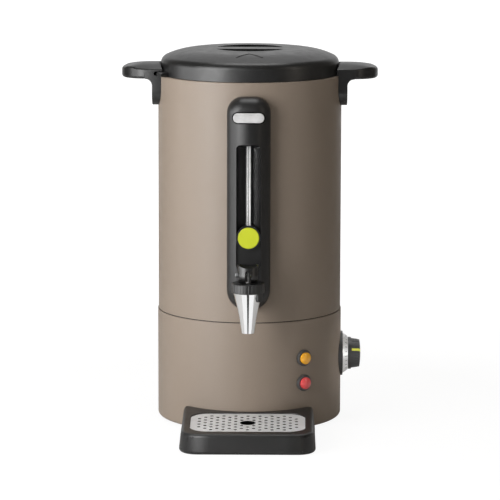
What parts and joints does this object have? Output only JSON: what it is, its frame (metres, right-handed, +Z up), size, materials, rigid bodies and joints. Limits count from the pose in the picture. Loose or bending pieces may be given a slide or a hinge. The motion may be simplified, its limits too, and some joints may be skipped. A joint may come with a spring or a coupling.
{
  "type": "hot water urn",
  "caption": "Countertop electric hot water urn: round tank, bayonet lid, side handles, sight gauge, lever tap, thermostat knob, lamps and loose drip tray.",
  "frame": {"origin": "on the tank's axis, at the height of the table that the foot ring stands on", "axes": "+Z up along the tank's axis, -Y towards the tap and the user, +X towards the thermostat knob"},
  "size_m": [0.3064, 0.3349, 0.4489],
  "materials": {
    "taupe_paint": "matt powder coat, warm taupe",
    "black_plastic": "fine matt moulded plastic",
    "tap_plastic": "satin moulded plastic",
    "black_rubber": "matt",
    "clear_silicone": "translucent silicone",
    "steel": "brushed stainless",
    "zinc": "bright zinc plate",
    "chrome": "polished chrome plate",
    "satin_silver": "satin silver",
    "gauge_glass": "clear tube with a white back stripe",
    "lime": "lime, satin",
    "amber_lens": "amber, clear",
    "red_lens": "red, clear",
    "aluminium": "as rolled",
    "white_plastic": "moulded switchgear white",
    "copper": "bare copper",
    "element_sheath": "oxidised sheath",
    "lead_sleeve": "heat-proof sleeve"
  },
  "bodies": {
    "urn": {"tank": "taupe_paint", "base_housing": "taupe_paint", "seam_gasket": "black_rubber", "base_plate": "black_plastic", "foot_ring": "black_rubber", "tie_rods": "zinc", "tie_nuts": "zinc", "handle_left": "black_plastic", "handle_right": "black_plastic", "handle_screws": "zinc", "handle_washers": "clear_silicone", "column": "black_plastic", "column_screw": "zinc", "badge_plate": "satin_silver", "lime_disc": "lime", "gauge_tube": "gauge_glass", "gauge_cap": "black_rubber", "gauge_seal": "clear_silicone", "tap_adapter": "steel", "tap_body": "chrome", "tap_bonnet": "tap_plastic", "tap_spring": "steel", "shank_gaskets": "clear_silicone", "shank_nut": "zinc", "dial_ring": "black_plastic", "dial": "satin_silver", "thermostat": "white_plastic", "thermostat_probe": "copper", "lamp_amber": "tap_plastic", "lens_amber": "amber_lens", "lamp_red": "tap_plastic", "lens_red": "red_lens", "lamp_nuts": "black_plastic", "element_plate": "aluminium", "heating_element": "element_sheath", "limiter": "white_plastic", "terminal_block": "white_plastic", "cord_gland": "black_rubber", "leads": "lead_sleeve"},
    "seal": {"lid_seal": "clear_silicone"},
    "lid": {"lid": "black_plastic", "lid_liner": "steel", "lid_screws": "zinc"},
    "valve": {"tap_stem": "steel", "seat_cup": "clear_silicone", "tap_pin": "steel"},
    "lever": {"tap_lever": "tap_plastic"},
    "knob": {"knob": "tap_plastic", "knob_pointer": "lime", "thermostat_shaft": "zinc"},
    "tray": {"drip_tray": "black_plastic"},
    "grate": {"drip_grate": "steel"},
    "reset": {"reset_button": "red_lens"}
  },
  "joints": [
    {"name": "lid_lift", "type": "slide", "parent": "urn", "child": "seal", "axis": [0, 0, 1], "range_m": [0, 0.15]},
    {"name": "lid_turn", "type": "hinge", "parent": "seal", "child": "lid", "pos_m": [0, 0, 0.42], "axis": [0, 0, 1], "range_deg": [-20, 0]},
    {"name": "valve_lift", "type": "slide", "parent": "urn", "child": "valve", "axis": [0, 0, 1], "range_m": [0, 0.00289], "stiffness_N_per_m": 60, "springref_m": -0.005, "deforming": ["tap_spring"]},
    {"name": "lever_pull", "type": "hinge", "parent": "valve", "child": "lever", "pos_m": [0, -0.16, 0.2], "axis": [1, 0, 0], "range_deg": [0, 40]},
    {"name": "knob_turn", "type": "hinge", "parent": "urn", "child": "knob", "pos_m": [0.12, 0, 0.0772], "axis": [-1, 0, 0], "range_deg": [-69, 201]},
    {"name": "tray_slide", "type": "slide", "parent": "urn", "child": "tray", "axis": [0, -1, 0], "range_m": [0, 0.12]},
    {"name": "grate_lift", "type": "slide", "parent": "tray", "child": "grate", "axis": [0, 0, 1], "range_m": [0, 0.06]},
    {"name": "reset_press", "type": "slide", "parent": "urn", "child": "reset", "axis": [0, 0, 1], "range_m": [0, 0.0015], "stiffness_N_per_m": 300, "springref_m": -0.002}
  ],
  "couplings": [
    {"joint": "lever_pull", "follows": "valve_lift", "rad_per_m": 241.37}
  ]
}
